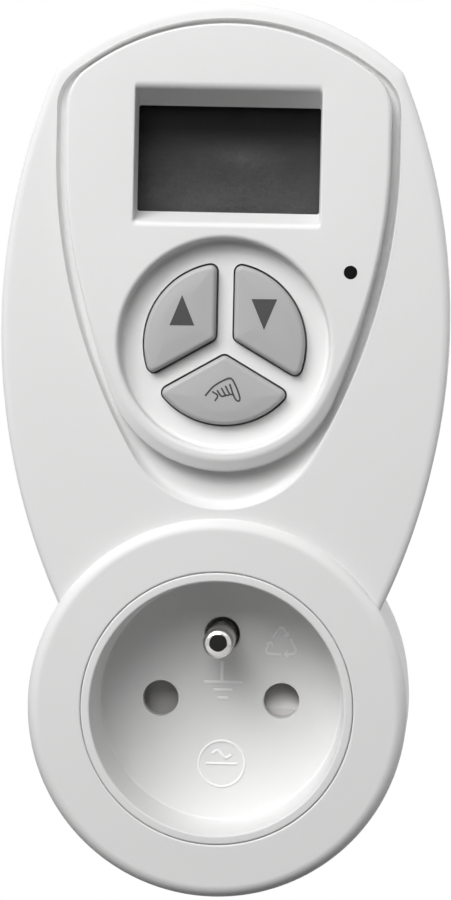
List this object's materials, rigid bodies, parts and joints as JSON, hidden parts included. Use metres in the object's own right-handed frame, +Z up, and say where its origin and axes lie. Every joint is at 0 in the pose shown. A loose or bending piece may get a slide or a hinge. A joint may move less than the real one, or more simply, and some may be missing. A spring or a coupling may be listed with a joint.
{
  "type": "plug-in timer thermostat",
  "caption": "Egg-shaped white plug-in timer thermostat: display window, round bowl of grey keys, indicator dot, and a pass-through socket outlet with earth pin above a wall plug.",
  "frame": {"origin": "centre of the plug's flat nose face, midway between the plug pins and on the socket's axis", "axes": "+Z up the case, +Y along the plug pins into the wall, front towards -Y, +X to the viewer's right"},
  "size_m": [0.0694, 0.076, 0.1382],
  "materials": {
    "case_white": "fine matt moulded white",
    "cup_white": "smooth moulded white",
    "key_grey": "satin grey",
    "nickel": "bright nickel plate",
    "brass": "stamped brass",
    "steel": "zinc-plated",
    "pane_clear": "clear gloss",
    "lcd_dark": "dark unlit display",
    "inner_white": "plain moulding",
    "rubber_black": "striped conductive rubber",
    "board_green": "solder-masked laminate",
    "board_tan": "paper laminate",
    "black_plastic": "plain black",
    "plunger_brown": "plain brown",
    "lens_dark": "smoked lens",
    "led_red": "diffused red",
    "bead_black": "dipped bead",
    "relay_blue": "moulded box",
    "film_yellow": "moulded box",
    "can_navy": "sleeved can",
    "disc_orange": "dipped disc",
    "fuse_tan": "ceramic body",
    "wire_brown": "insulated wire",
    "wire_black": "insulated wire",
    "wire_blue": "insulated wire",
    "plate_silver": "bare foil plate"
  },
  "bodies": {
    "case": {"front_shell": "case_white", "rear_shell": "case_white", "socket_insert": "cup_white", "earth_pin": "nickel", "live_plug_pin": "nickel", "neutral_plug_pin": "nickel", "side_earth_clips": "nickel", "live_contact": "brass", "neutral_contact": "brass", "earth_link": "brass", "plug_earth_sleeve": "brass", "case_screws": "steel", "control_board_screws": "steel", "main_board_screws": "steel", "shutter_spring": "steel", "crystal": "steel", "backup_cell": "steel", "display_window": "pane_clear", "lcd_panel": "lcd_dark", "contact_carrier": "inner_white", "lcd_frame": "inner_white", "lcd_connectors": "rubber_black", "control_board": "board_green", "main_board": "board_tan", "up_switch": "black_plastic", "down_switch": "black_plastic", "manual_switch": "black_plastic", "microcontroller": "black_plastic", "cell_holder": "black_plastic", "board_link": "black_plastic", "rectifier": "black_plastic", "regulator": "black_plastic", "indicator_lens": "lens_dark", "indicator_led": "led_red", "thermistor": "bead_black", "relay": "relay_blue", "film_capacitor": "film_yellow", "smoothing_capacitor": "can_navy", "varistor": "disc_orange", "fuse": "fuse_tan", "live_wire": "wire_brown", "load_wire": "wire_black", "neutral_wire": "wire_blue", "rating_plate": "plate_silver"},
    "up_key_press": {"up_key": "key_grey", "up_plunger": "plunger_brown"},
    "down_key_press": {"down_key": "key_grey", "down_plunger": "plunger_brown"},
    "manual_key_press": {"manual_key": "key_grey", "manual_plunger": "plunger_brown"},
    "shutter": {"safety_shutter": "inner_white"}
  },
  "joints": [
    {"name": "up_key_slide", "type": "slide", "parent": "case", "child": "up_key_press", "axis": [0, 1, 0], "range_m": [0, 0.0005], "stiffness_N_per_m": 2500},
    {"name": "down_key_slide", "type": "slide", "parent": "case", "child": "down_key_press", "axis": [0, 1, 0], "range_m": [0, 0.0005], "stiffness_N_per_m": 2500},
    {"name": "manual_key_slide", "type": "slide", "parent": "case", "child": "manual_key_press", "axis": [0, 1, 0], "range_m": [0, 0.0005], "stiffness_N_per_m": 2500},
    {"name": "shutter_slide", "type": "slide", "parent": "case", "child": "shutter", "axis": [0, 0, -1], "range_m": [0, 0.0064], "stiffness_N_per_m": 150, "springref_m": -0.003, "deforming": ["shutter_spring"]}
  ]
}
